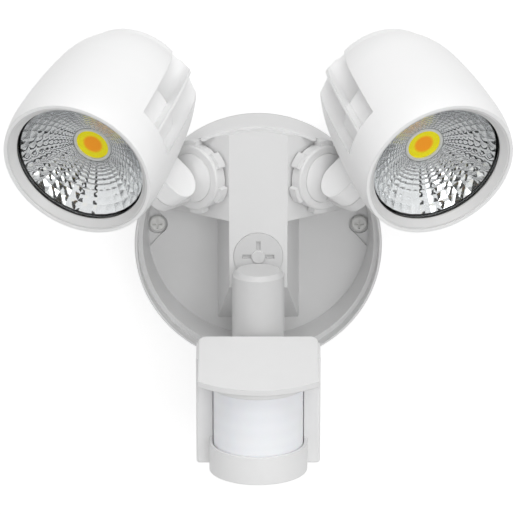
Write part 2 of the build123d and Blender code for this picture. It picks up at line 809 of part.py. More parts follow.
with BuildPart() as sensor_arm:
    with BuildSketch(Plane.XY.offset(post_top_z)):
        with Locations((0, -post_front)):
            Circle(post_r)
    extrude(amount=stub_top_z - post_top_z)
    chamfer(sensor_arm.faces().sort_by(Axis.Z)[-1].edges(), post_bevel)
    with BuildSketch(Plane.XY.offset(stub_top_z)):
        with Locations((0, -post_front)):
            Circle(stub_r)
    extrude(amount=stub_bottom_z - stub_top_z)
    with BuildSketch(Plane.XY.offset(sleeve_bottom_z - face_gap)):
        with Locations((0, -post_front)):
            Circle(stub_r + 1)
            Circle(stub_r - clip_groove, mode=Mode.SUBTRACT)
    extrude(amount=-clip_thick, mode=Mode.SUBTRACT)
    with BuildSketch(wall_plane.offset(spine_front + disc_proud)):
        with Locations((0, post_top_z - post_bevel - neck_high / 2)):
            Rectangle(2 * neck_half_w, neck_high)
    extrude(amount=post_r)
    with BuildSketch(wall_plane.offset(disc_back)):
        with Locations((0, disc_z)):
            Circle(disc_r)
    extrude(amount=spine_front + disc_proud - disc_back)
    with BuildSketch(wall_plane.offset(spine_front + disc_proud)):
        with Locations((-(slot_in + slot_out) / 2, disc_z), ((slot_in + slot_out) / 2, disc_z)):
            Rectangle(slot_out - slot_in, slot_w)
        with Locations((0, disc_z + (slot_in + slot_out) / 2)):
            Rectangle(slot_w, slot_out - slot_in)
    extrude(amount=-slot_deep, mode=Mode.SUBTRACT)
    with BuildSketch(wall_plane.offset(disc_back)):
        with Locations((0, disc_z)):
            Circle(arm_bolt_r)
    extrude(amount=spine_front + disc_proud - disc_back, mode=Mode.SUBTRACT)
sensor_arm.part.label = "sensor_arm"
export_step(sensor_arm.part, "parts/sensor_arm.step")

with BuildPart() as arm_bolt:
    with BuildSketch(wall_plane.offset(spine_front + disc_proud)):
        with Locations((0, disc_z)):
            Circle(hub_r)
    extrude(amount=hub_proud)
    chamfer(arm_bolt.faces().sort_by(Axis.Y)[0].edges(), 0.3)
    with BuildSketch(wall_plane.offset(spine_front + disc_proud)):
        with Locations((0, disc_z)):
            Circle(arm_bolt_r)
    extrude(amount=-arm_bolt_long)
arm_bolt.part.label = "arm_bolt"
export_step(arm_bolt.part, "parts/arm_bolt.step")

with BuildPart() as arm_retainer:
    with BuildSketch(wall_plane.offset(wall_inside)):
        with Locations((0, arm_plate_bottom_z + arm_plate_high / 2)):
            RectangleRounded(arm_plate_w, arm_plate_high, 2)
        with Locations((0, disc_z)):
            Circle(arm_bolt_r + slide_gap, mode=Mode.SUBTRACT)
    extrude(amount=-arm_plate_thick)
arm_retainer.part.label = "arm_retainer"
export_step(arm_retainer.part, "parts/arm_retainer.step")

with BuildPart() as arm_nut:
    with BuildSketch(wall_plane.offset(wall_inside - arm_plate_thick - face_gap)):
        with Locations((0, disc_z)):
            RegularPolygon(arm_nut_r, 6)
            Circle(arm_bolt_r, mode=Mode.SUBTRACT)
    extrude(amount=-arm_nut_high)
arm_nut.part.label = "arm_nut"
export_step(arm_nut.part, "parts/arm_nut.step")

with BuildPart() as sensor_collar:
    with BuildSketch(Plane.XY.offset(sleeve_bottom_z)):
        with Locations((0, -post_front)):
            Circle(sleeve_r)
    extrude(amount=sleeve_long)
    with BuildSketch(Plane.YZ.offset(-sleeve_r - trunnion_long)):
        with Locations((-post_front, hinge_z)):
            Circle(trunnion_r)
    extrude(amount=2 * sleeve_r + 2 * trunnion_long)
    with BuildSketch(Plane.YZ.offset(-sleeve_r - trunnion_long)):
        with Locations((-post_front, hinge_z)):
            Circle(tilt_screw_r)
    extrude(amount=2 * sleeve_r + 2 * trunnion_long, mode=Mode.SUBTRACT)
    with BuildSketch(Plane.XY.offset(sleeve_bottom_z)):
        with Locations((0, -post_front)):
            Circle(sleeve_bore_r)
    extrude(amount=sleeve_long, mode=Mode.SUBTRACT)
sensor_collar.part.label = "sensor_collar"
export_step(sensor_collar.part, "parts/sensor_collar.step")

with BuildPart() as collar_clip:
    with BuildSketch(Plane.XY.offset(sleeve_bottom_z - face_gap)):
        with Locations((0, -post_front)):
            Circle(clip_r)
            Circle(stub_r - clip_groove, mode=Mode.SUBTRACT)
            with Locations((0, clip_r)):
                Rectangle(clip_r, 2 * clip_r - stub_r, mode=Mode.SUBTRACT)
    extrude(amount=-clip_thick)
collar_clip.part.label = "collar_clip"
export_step(collar_clip.part, "parts/collar_clip.step")

# ======================= sensor =======================

with BuildPart() as sensor_back:
    with BuildSketch(wall_plane.offset(cover_front)):
        with Locations((0, (box_bottom_z + hood_back_z) / 2)):
            RectangleRounded(2 * box_half_w, hood_back_z - box_bottom_z, box_corner_r)
    extrude(amount=cover_thick)
    with BuildSketch(hood_plane.offset(-hood_thick)):
        Rectangle(4 * box_half_w, 4 * box_half_w)
    extrude(amount=box_half_w, mode=Mode.SUBTRACT)
    with BuildSketch(wall_plane.offset(cover_front + cover_thick)):
        with Locations((0, pyro_z)):
            with GridLocations(0.7 * sensor_board_w, 0.7 * sensor_board_high, 2, 2):
                Circle(standoff_r)
    extrude(amount=sensor_board_front - cover_front - cover_thick)
    with BuildSketch(Plane.YZ.offset(sleeve_r + body_gap)):
        with Locations((-post_front, hinge_z)):
            Circle(lug_r)
        with Locations((-(post_front + cover_front) / 2, hinge_z)):
            Rectangle(cover_front - post_front, 2 * lug_r)
        with Locations((-post_front, hinge_z)):
            Circle(trunnion_r + slide_gap, mode=Mode.SUBTRACT)
    extrude(amount=lug_thick)
    mirror(about=Plane.YZ)
sensor_back.part.label = "sensor_back"
export_step(sensor_back.part, "parts/sensor_back.step")

with BuildPart() as tilt_screws:
    with BuildSketch(Plane.YZ.offset(sleeve_r + trunnion_long)):
        with Locations((-post_front, hinge_z)):
            Circle(tilt_head_r)
    extrude(amount=tilt_head_high)
    chamfer(tilt_screws.faces().sort_by(Axis.X)[-1].edges(), 0.6)
    with BuildSketch(Plane.YZ.offset(sleeve_r + trunnion_long)):
        with Locations((-post_front, hinge_z)):
            Circle(tilt_screw_r)
    extrude(amount=-trunnion_long - sleeve_wall / 2)
    with BuildSketch(Plane.YZ.offset(sleeve_r + trunnion_long + tilt_head_high - recess_deep)):
        with Locations((-post_front, hinge_z)):
            Rectangle(recess_w, recess_long)
            Rectangle(recess_long, recess_w)
    extrude(amount=recess_deep, mode=Mode.SUBTRACT)
    mirror(about=Plane.YZ)
tilt_screws.part.label = "tilt_screws"
export_step(tilt_screws.part, "parts/tilt_screws.step")

# Front shell: a shallow box with the lens frame above and the cup below.
box_back_front = cover_front + cover_thick
with BuildPart() as sensor_housing:
    with BuildSketch(wall_plane.offset(box_back_front)):
        with Locations((0, (box_bottom_z + hood_back_z) / 2)):
            RectangleRounded(2 * box_half_w, hood_back_z - box_bottom_z, box_corner_r)
    extrude(amount=box_front - box_back_front)
    fillet(sensor_housing.faces().sort_by(Axis.Y)[0].edges(), box_edge_r)
    with BuildSketch(Plane.XY.offset(cup_rim_z)):
        with Locations((0, -lens_front)):
            Circle(cup_ring_r)
        with Locations((0, -(lens_front + box_back_front) / 2)):
            Rectangle(2 * cup_ring_r, lens_front - box_back_front)
    extrude(amount=box_bottom_z - cup_rim_z)
    with BuildSketch(Plane.XY.offset(lens_rim_z)):
        with Locations((0, -lens_front)):
            Circle(lens_rim_r)
        with Locations((0, -(lens_front + box_back_front) / 2)):
            Rectangle(2 * lens_rim_r, lens_front - box_back_front)
    extrude(amount=hood_back_z - lens_rim_z)
    with BuildSketch(hood_plane.offset(-hood_thick)):
        Rectangle(4 * box_half_w, 4 * box_half_w)
    extrude(amount=box_half_w, mode=Mode.SUBTRACT)
    with BuildSketch(wall_plane.offset(box_back_front)):
        with Locations((0, (box_bottom_z + hood_back_z) / 2)):
            Rectangle(4 * box_half_w, 4 * box_half_w)
    extrude(amount=-box_back_front, mode=Mode.SUBTRACT)
    with BuildSketch(wall_plane.offset(box_back_front)):
        with Locations((0, (box_bottom_z + hood_back_z) / 2)):
            RectangleRounded(
                2 * box_half_w - 2 * box_wall, hood_back_z - box_bottom_z - 2 * box_wall,
                box_inner_r,
            )
    extrude(amount=box_front - box_back_front - box_wall, mode=Mode.SUBTRACT)
    with BuildSketch(Plane.XY.offset(box_bottom_z + cup_floor)):
        with Locations((0, -lens_front)):
            Circle(cup_ring_r - cup_wall)
        with Locations((0, -(lens_front + box_back_front) / 2)):
            Rectangle(2 * cup_ring_r - 2 * cup_wall, lens_front - box_back_front)
    extrude(amount=hood_back_z - box_bottom_z, mode=Mode.SUBTRACT)
    with BuildSketch(Plane.XY.offset(box_bottom_z)):
        with Locations((0, -knob_front)):
            with GridLocations(knob_pitch, 1, 3, 1):
                Circle(knob_r + slide_gap)
    extrude(amount=cup_floor, mode=Mode.SUBTRACT)
    with BuildSketch(Plane.XY.offset(box_bottom_z + cup_floor)):
        with Locations((0, -knob_front + dial_post_setback)):
            with GridLocations(knob_pitch, 1, 2, 1):
                Circle(standoff_r)
    extrude(amount=dial_board_z - box_bottom_z - cup_floor)
sensor_housing.part.label = "sensor_housing"
export_step(sensor_housing.part, "parts/sensor_housing.step")

with BuildPart() as sensor_hood:
    with BuildSketch(hood_plane):
        with BuildLine():
            Polyline(
                (-hood_half_w, -hood_side), (-hood_half_w, 0), (hood_half_w, 0),
                (hood_half_w, -hood_side),
            )
            ThreePointArc((-hood_half_w, -hood_side), (0, -hood_nose), (hood_half_w, -hood_side))
        make_face()
        fillet(vertices().group_by(Axis.Y)[-1], hood_corner_r)
    extrude(amount=-hood_thick)
    fillet(sensor_hood.faces().sort_by(Axis.Z)[-1].edges(), 0.8)
sensor_hood.part.label = "sensor_hood"
export_step(sensor_hood.part, "parts/sensor_hood.step")

with BuildPart() as sensor_lens:
    with BuildSketch(Plane.XY.offset(cup_rim_z - lens_overlap)):
        with Locations((0, -lens_front)):
            Circle(lens_r)
        with Locations((0, -(lens_front + box_front) / 2)):
            Rectangle(2 * lens_r, lens_front - box_front)
        with Locations((0, -lens_front)):
            Circle(lens_r - lens_wall, mode=Mode.SUBTRACT)
        with Locations((0, -(lens_front + box_front) / 2)):
            Rectangle(2 * lens_r - 2 * lens_wall, lens_front - box_front, mode=Mode.SUBTRACT)
        with Locations((0, -box_front + lens_r)):
            Rectangle(2 * lens_r, 2 * lens_r, mode=Mode.SUBTRACT)
    extrude(amount=lens_top_z - cup_rim_z + lens_overlap)
    with BuildSketch(Plane.XY.offset(lens_top_z)):
        with Locations((0, -lens_front)):
            Circle(lens_r)
        with Locations((0, -(lens_front + box_front) / 2)):
            Rectangle(2 * lens_r, lens_front - box_front)
        with Locations((0, -box_front + lens_r)):
            Rectangle(2 * lens_r, 2 * lens_r, mode=Mode.SUBTRACT)
    extrude(amount=-lens_wall)
sensor_lens.part.label = "sensor_lens"
export_step(sensor_lens.part, "parts/sensor_lens.step")

with BuildPart() as sensor_board:
    with BuildSketch(wall_plane.offset(sensor_board_front)):
        with Locations((0, pyro_z)):
            Rectangle(sensor_board_w, sensor_board_high)
    extrude(amount=sensor_board_thick)
sensor_board.part.label = "sensor_board"
export_step(sensor_board.part, "parts/sensor_board.step")

with BuildPart() as pyro_detector:
    with BuildSketch(wall_plane.offset(sensor_board_front + sensor_board_thick)):
        with Locations((0, pyro_z)):
            Circle(pyro_r)
    extrude(amount=pyro_high)
    chamfer(pyro_detector.faces().sort_by(Axis.Y)[0].edges(), 0.4)
pyro_detector.part.label = "pyro_detector"
export_step(pyro_detector.part, "parts/pyro_detector.step")

# Three dials stand through the floor of the cup: on-time, range and dusk level.
with BuildPart() as time_dial:
    with BuildSketch(Plane.XY.offset(box_bottom_z - knob_proud)):
        with Locations((-knob_pitch, -knob_front)):
            Circle(knob_r)
    extrude(amount=knob_proud + cup_floor + face_gap)
    with BuildSketch(Plane.XY.offset(dial_top_z - knob_flange_thick)):
        with Locations((-knob_pitch, -knob_front)):
            Circle(knob_flange_r)
    extrude(amount=knob_flange_thick)
    with BuildSketch(Plane.XY.offset(dial_top_z)):
        with Locations((-knob_pitch, -knob_front)):
            Circle(knob_stalk_r)
    extrude(amount=knob_stalk_long)
    with BuildSketch(Plane.XY.offset(box_bottom_z - knob_proud)):
        with Locations((-knob_pitch, -knob_front)):
            Rectangle(recess_w, recess_long)
    extrude(amount=recess_deep, mode=Mode.SUBTRACT)
time_dial.part.label = "time_dial"
export_step(time_dial.part, "parts/time_dial.step")

with BuildPart() as range_dial:
    add(time_dial.part.moved(Location((knob_pitch, 0, 0))))
range_dial.part.label = "range_dial"
export_step(range_dial.part, "parts/range_dial.step")

with BuildPart() as dusk_dial:
    add(time_dial.part.moved(Location((2 * knob_pitch, 0, 0))))
dusk_dial.part.label = "dusk_dial"
export_step(dusk_dial.part, "parts/dusk_dial.step")

with BuildPart() as dial_board:
    with BuildSketch(Plane.XY.offset(dial_board_z)):
        with Locations((0, -knob_front + dial_board_setback)):
            Rectangle(dial_board_w, dial_board_deep)
        with Locations((0, -knob_front)):
            with GridLocations(knob_pitch, 1, 3, 1):
                Circle(knob_stalk_r + slide_gap, mode=Mode.SUBTRACT)
    extrude(amount=sensor_board_thick)
dial_board.part.label = "dial_board"
export_step(dial_board.part, "parts/dial_board.step")
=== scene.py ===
import bpy
import json
import math
from mathutils import Matrix, Vector


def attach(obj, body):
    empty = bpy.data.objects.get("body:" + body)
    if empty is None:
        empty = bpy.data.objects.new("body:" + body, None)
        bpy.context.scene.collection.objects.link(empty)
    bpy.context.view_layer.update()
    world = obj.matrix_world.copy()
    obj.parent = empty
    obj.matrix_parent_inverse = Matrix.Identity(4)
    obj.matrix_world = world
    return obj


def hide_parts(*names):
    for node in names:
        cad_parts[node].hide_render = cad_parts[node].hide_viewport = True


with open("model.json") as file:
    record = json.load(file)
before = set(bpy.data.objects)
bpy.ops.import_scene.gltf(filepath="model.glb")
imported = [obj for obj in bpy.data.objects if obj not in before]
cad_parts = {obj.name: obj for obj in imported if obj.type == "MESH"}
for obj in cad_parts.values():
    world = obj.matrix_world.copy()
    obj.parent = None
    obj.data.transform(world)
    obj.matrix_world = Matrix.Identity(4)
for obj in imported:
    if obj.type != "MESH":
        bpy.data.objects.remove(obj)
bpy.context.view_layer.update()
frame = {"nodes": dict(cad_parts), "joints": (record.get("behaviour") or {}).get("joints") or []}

# ---------------------------------------------------------------------------
# Canopy: the round base with its raised T-shaped housing, one die casting of
# aluminium, sprayed with white polyester powder and baked. Two screws hold it
# on the wall plate.
# ---------------------------------------------------------------------------


def linear(hex_colour):
    """An sRGB hex colour as linear RGBA."""
    shades = [int(hex_colour[i:i + 2], 16) / 255 for i in (1, 3, 5)]
    return [s / 12.92 if s <= 0.04045 else ((s + 0.055) / 1.055) ** 2.4 for s in shades] + [1.0]


def node(tree, kind, settings=None, links=None):
    """Adds one node with its settings (attributes or input values) and its links (input: socket)."""
    made = tree.nodes.new(kind)
    for key, value in (settings or {}).items():
        if isinstance(key, str) and hasattr(made, key):
            setattr(made, key, value)
        else:
            made.inputs[key].default_value = value
    for key, socket in (links or {}).items():
        tree.links.new(socket, made.inputs[key])
    return made


def surface(name, light, dark, drift_mm, grain_mm, relief_mm, gloss, edge_mm, grain_stretch=1.0,
            **shader_settings):
    """An opaque finish: its tone drifts, its grain bumps and breaks up the gloss, its edges are soft.

    gloss is the least and the greatest roughness. grain_stretch above 1 lays the grain along X and Y.
    """
    material = bpy.data.materials.new(name)
    material.use_nodes = True
    tree = material.node_tree
    tree.nodes.clear()
    place = node(tree, "ShaderNodeTexCoord")
    frame_place = node(tree, "ShaderNodeMapping", {"Scale": (1.0, 1.0, grain_stretch)},
                       {"Vector": place.outputs["Object"]})
    drift = node(tree, "ShaderNodeTexNoise", {"Scale": 1000 / drift_mm, "Detail": 3.0, "Roughness": 0.6},
                 {"Vector": frame_place.outputs[0]})
    grain = node(tree, "ShaderNodeTexNoise", {"Scale": 1000 / grain_mm, "Detail": 4.0, "Roughness": 0.55},
                 {"Vector": frame_place.outputs[0]})
    tone = node(tree, "ShaderNodeMix", {"data_type": "RGBA", 6: linear(dark), 7: linear(light)},
                {0: drift.outputs["Fac"]})
    edge = node(tree, "ShaderNodeBevel", {"samples": 4, "Radius": edge_mm / 1000})
    bump = node(tree, "ShaderNodeBump", {"Strength": 0.6, "Distance": relief_mm / 1000},
                {"Height": grain.outputs["Fac"], "Normal": edge.outputs[0]})
    rough = node(tree, "ShaderNodeMapRange", {3: gloss[0], 4: gloss[1]}, {0: grain.outputs["Fac"]})
    shader = node(tree, "ShaderNodeBsdfPrincipled", shader_settings,
                  {"Base Color": tone.outputs[2], "Roughness": rough.outputs[0],
                   "Normal": bump.outputs[0]})
    node(tree, "ShaderNodeOutputMaterial", links={"Surface": shader.outputs[0]})
    return material


def dress(material, *names):
    """Gives CAD nodes their finish."""
    for name in names:
        mesh = frame["nodes"][name].data
        mesh.materials.clear()
        mesh.materials.append(material)


# Baked polyester powder: an even satin white, with a faint orange peel that softens highlights.
powder_coat = surface(
    "baked_white_polyester_powder", light="#E3E3E3", dark="#DCDCDC", drift_mm=30.0, grain_mm=1.1,
    relief_mm=0.012, gloss=(0.34, 0.44), edge_mm=0.5)
dress(powder_coat, "canopy")

# ---------------------------------------------------------------------------
# Base gasket: a ring die-cut from white closed-cell foam, squeezed between the
# canopy's rim and the wall.
# ---------------------------------------------------------------------------

# Closed-cell foam: pale and dull, with open cells on its cut edge.
cell_foam = surface(
    "cut_closed_cell_foam", light="#E4E4E4", dark="#D2D2D2", drift_mm=6.0, grain_mm=0.5, relief_mm=0.15,
    gloss=(0.80, 0.95), edge_mm=0.3)
dress(cell_foam, "base_gasket")

# ---------------------------------------------------------------------------
# Wall plate: a disc pressed from sheet steel and zinc plated. Two box screws
# hold it, and the driver and the terminals are fixed to it.
# ---------------------------------------------------------------------------

# Zinc plate: blue-grey metal whose tone shifts in patches, with a fine rolled grain.
zinc_sheet = surface(
    "zinc_plated_rolled_sheet", light="#C9CDD1", dark="#A9AEB4", drift_mm=9.0, grain_mm=0.7,
    relief_mm=0.006, gloss=(0.26, 0.42), edge_mm=0.15, grain_stretch=6.0, Metallic=1.0)
dress(zinc_sheet, "wall_plate")

# ---------------------------------------------------------------------------
# Ground screw: a slotted machine screw of steel, zinc plated and passivated green,
# driven into a thread of the wall plate to take the earth wire.
# ---------------------------------------------------------------------------

# Green passivated zinc: a thin, slightly patchy colour over bright metal.
green_screw = surface(
    "green_passivated_zinc", light="#3E8F4C", dark="#256B36", drift_mm=2.0, grain_mm=0.3,
    relief_mm=0.004, gloss=(0.28, 0.42), edge_mm=0.15, Metallic=0.8)
dress(green_screw, "ground_screw")

# ---------------------------------------------------------------------------
# LED driver: a case moulded in flame-retardant plastic, filled with potting resin
# round its board and fixed to the wall plate.
# ---------------------------------------------------------------------------

# Moulded flame-retardant plastic: off-white and dull, a little uneven.
driver_case = surface(
    "matt_moulded_abs_case", light="#DEDDD6", dark="#D0CEC5", drift_mm=14.0, grain_mm=0.6,
    relief_mm=0.02, gloss=(0.55, 0.68), edge_mm=0.6)
dress(driver_case, "led_driver")

# ---------------------------------------------------------------------------
# Terminal block: three screw terminals in a body moulded in polyamide, fixed to
# the wall plate.
# ---------------------------------------------------------------------------

# Polyamide: ivory, with a soft sheen from the mould.
ivory_polyamide = surface(
    "ivory_moulded_polyamide", light="#E2DCC6", dark="#D3CCB3", drift_mm=6.0, grain_mm=0.4,
    relief_mm=0.01, gloss=(0.38, 0.50), edge_mm=0.3)
dress(ivory_polyamide, "terminal_block")

# ---------------------------------------------------------------------------
# Cover screws: two cross-head machine screws of steel with painted heads, driven
# through pockets of the dish into the wall plate.
# ---------------------------------------------------------------------------

# Painted steel: white, thinner at the recess, a little glossier than the canopy.
painted_screw = surface(
    "white_painted_steel_head", light="#EDEDEB", dark="#DADAD8", drift_mm=3.0, grain_mm=0.4,
    relief_mm=0.008, gloss=(0.28, 0.40), edge_mm=0.25)
dress(painted_screw, "cover_screws")

# ---------------------------------------------------------------------------
# Swivel seals: flat washers cut from EPDM rubber sheet, one on each shoulder of
# the canopy, squeezed by the collar of the swivel.
# ---------------------------------------------------------------------------

# Cut rubber: black with a dry bloom.
cut_rubber = surface(
    "cut_black_epdm_rubber", light="#262626", dark="#171717", drift_mm=4.0, grain_mm=0.35,
    relief_mm=0.03, gloss=(0.62, 0.80), edge_mm=0.2)
dress(cut_rubber, "swivel_seal_left", "swivel_seal_right")

# ---------------------------------------------------------------------------
# Swivels: die-cast knuckles with a domed collar and a cheek. The stem turns in
# the shoulder of the canopy, and the coat is the canopy's.
# ---------------------------------------------------------------------------

# The same powder on a small casting lies a little thicker, so its edges are rounder.
knuckle_coat = surface(
    "baked_powder_on_small_casting", light="#E8E8E8", dark="#E0E0E0", drift_mm=12.0, grain_mm=0.9,
    relief_mm=0.012, gloss=(0.34, 0.44), edge_mm=0.6)
dress(knuckle_coat, "swivel_left", "swivel_right")

# ---------------------------------------------------------------------------
# Lock nuts: rings with six grip lugs, moulded in white polycarbonate, screwed
# over the collars of the swivels.
# ---------------------------------------------------------------------------

# Moulded polycarbonate: white with the fine even texture of a spark-eroded tool.
nut_moulding = surface(
    "textured_polycarbonate_nut", light="#E6E6E6", dark="#DEDEDE", drift_mm=9.0, grain_mm=0.5,
    relief_mm=0.012, gloss=(0.40, 0.52), edge_mm=0.5)
dress(nut_moulding, "lock_nut_left", "lock_nut_right")

# ---------------------------------------------------------------------------
# Swivel retainers: rings stamped from tempered spring steel and pressed on the
# stems behind the wall of the shoulder, so that the swivels stay in.
# ---------------------------------------------------------------------------

# Tempered spring steel: grey-blue with turned marks.
spring_steel = surface(
    "tempered_spring_steel", light="#A4A9AF", dark="#868C93", drift_mm=3.0, grain_mm=0.3,
    relief_mm=0.004, gloss=(0.24, 0.38), edge_mm=0.15, Metallic=1.0)
dress(spring_steel, "swivel_retainer_left", "swivel_retainer_right")

# ---------------------------------------------------------------------------
# Pivot screws: cross-head machine screws cold headed in stainless steel, driven
# through the cheeks into the legs of the heads, which tilt on them.
# ---------------------------------------------------------------------------

# Cold-headed stainless steel: bright, with fine drawing marks.
stainless_head = surface(
    "cold_headed_stainless_steel", light="#D2D3D4", dark="#B8BABC", drift_mm=2.5, grain_mm=0.25,
    relief_mm=0.004, gloss=(0.20, 0.34), edge_mm=0.2, Metallic=1.0)
dress(stainless_head, "pivot_screw_left", "pivot_screw_right")

# ---------------------------------------------------------------------------
# Head housings: die castings with a lip, a smooth roof, open slots between fins
# at the sides and a leg for the knuckle, powder coated like the canopy.
# ---------------------------------------------------------------------------

# Baked powder on the large casting: the whitest piece, smooth and satin; the canopy's powder painted
# whiter here, as painted light for the light falling on the roofs.
lit_head_coat = surface(
    "baked_powder_on_head_casting_painted_whiter", light="#F8F8F8", dark="#F3F3F3", drift_mm=38.0, grain_mm=1.2,
    relief_mm=0.010, gloss=(0.32, 0.42), edge_mm=0.6)
dress(lit_head_coat, "head_housing_left", "head_housing_right")

# ---------------------------------------------------------------------------
# Retaining rings: conical rings turned from aluminium and coated, screwed into
# the lips to hold the glass.
# ---------------------------------------------------------------------------

# Powder over turned aluminium: white, with the turning only just felt under the coat.
ring_coat = surface(
    "baked_powder_on_turned_ring", light="#E2E2E2", dark="#D8D8D8", drift_mm=16.0, grain_mm=0.8,
    relief_mm=0.010, gloss=(0.34, 0.46), edge_mm=0.3)
dress(ring_coat, "retaining_ring_left", "retaining_ring_right")

# ---------------------------------------------------------------------------
# Glass gaskets: thin flat rings moulded in black silicone, pressed between each
# glass and its retaining ring to keep water out.
# ---------------------------------------------------------------------------

# Moulded silicone: near black, with the dull sheen of a matt mould.
black_silicone = surface(
    "moulded_black_silicone", light="#3A3A3A", dark="#2A2A2A", drift_mm=5.0, grain_mm=0.3,
    relief_mm=0.01, gloss=(0.50, 0.66), edge_mm=0.2)
dress(black_silicone, "glass_gasket_left", "glass_gasket_right")

# ---------------------------------------------------------------------------
# Head glasses: flat discs cut from clear float glass, ground and toughened, laid
# over the reflectors and held by the retaining rings.
# ---------------------------------------------------------------------------

smear_mm = 16.7
straight_share = 0.04

# Toughened float glass: clear, mirrored only at a slant; faint smears break the reflection.
glass = bpy.data.materials.new("clear_toughened_float_glass")
glass.use_nodes = True
glass_tree = glass.node_tree
glass_tree.nodes.clear()
glass_place = node(glass_tree, "ShaderNodeTexCoord")
smears = node(glass_tree, "ShaderNodeTexNoise", {"Scale": 1000 / smear_mm, "Detail": 4.0},
              {"Vector": glass_place.outputs["Object"]})
smear_gloss = node(glass_tree, "ShaderNodeMapRange", {3: 0.0, 4: 0.06}, {0: smears.outputs["Fac"]})
glass_tint = node(glass_tree, "ShaderNodeMix",
                  {"data_type": "RGBA", 6: linear("#FAFBFB"), 7: linear("#FEFEFE")},
                  {0: smears.outputs["Fac"]})
glass_clear = node(glass_tree, "ShaderNodeBsdfTransparent", links={"Color": glass_tint.outputs[2]})
glass_sheen = node(glass_tree, "ShaderNodeBsdfGlossy", links={"Roughness": smear_gloss.outputs[0]})
glass_slant = node(glass_tree, "ShaderNodeLayerWeight", {"Blend": 0.5})
glass_steep = node(glass_tree, "ShaderNodeMath", {"operation": "POWER", 1: 5.0},
                   {0: glass_slant.outputs["Facing"]})
glass_share = node(glass_tree, "ShaderNodeMath",
                   {"operation": "MULTIPLY_ADD", 1: 1 - straight_share, 2: straight_share},
                   {0: glass_steep.outputs[0]})
glass_mix = node(glass_tree, "ShaderNodeMixShader",
                 links={0: glass_share.outputs[0], 1: glass_clear.outputs[0], 2: glass_sheen.outputs[0]})
node(glass_tree, "ShaderNodeOutputMaterial", links={"Surface": glass_mix.outputs[0]})
dress(glass, "head_glass_left", "head_glass_right")

# ---------------------------------------------------------------------------
# Reflectors: polycarbonate bowls, moulded with rows of pillow facets and coated
# with aluminium in a vacuum. The flange is held between the glass and the cup.
# ---------------------------------------------------------------------------

sides = ("left", "right")

# Sizes of a bowl in its own axes: r from the axis, s back from the lip plane, in millimetres.
tilt_angle = math.radians(27.7)
pivot_setback = 36.2
pivot_drop = 45.5
flange_r = 35.4
flange_front = 1.5
flange_back = 2.3
bowl_r = 31.4
bowl_mid_r = 23.23
bowl_mid_back = 8.55
bowl_hole_r = 9.9
bowl_back = 14.8
bowl_wall = 1.0
facet_rows = 11
facet_columns = 36
facet_steps = 4
facet_pillow = 0.045


def arc_centre(a, b, c):
    """Centre and radius of the circle through three (r, s) points."""
    d = 2 * (a[0] * (b[1] - c[1]) + b[0] * (c[1] - a[1]) + c[0] * (a[1] - b[1]))
    squares = [p[0] ** 2 + p[1] ** 2 for p in (a, b, c)]
    r = (squares[0] * (b[1] - c[1]) + squares[1] * (c[1] - a[1]) + squares[2] * (a[1] - b[1])) / d
    s = (squares[0] * (c[0] - b[0]) + squares[1] * (a[0] - c[0]) + squares[2] * (b[0] - a[0])) / d
    return Vector((r, s)), math.hypot(a[0] - r, a[1] - s)


joints = {joint["name"]: joint for joint in frame["joints"]}
outward = Vector(joints["head_swivel_left"]["axis"]).normalized()
pin_way = Vector(joints["head_tilt_left"]["axis"]).normalized()
pivot = Vector(joints["head_tilt_left"]["pos_m"])
rise_way = outward.cross(pin_way)
forward = outward * math.cos(tilt_angle) - rise_way * math.sin(tilt_angle)
head_up = rise_way * math.cos(tilt_angle) + outward * math.sin(tilt_angle)
lip_centre = pivot + forward * pivot_setback / 1000 + head_up * pivot_drop / 1000
head_axes = Matrix((pin_way, head_up, -forward)).transposed().to_4x4()
head_frame = {"left": Matrix.Translation(lip_centre) @ head_axes}
head_frame["right"] = Matrix.Diagonal((-1, 1, 1, 1)) @ head_frame["left"]


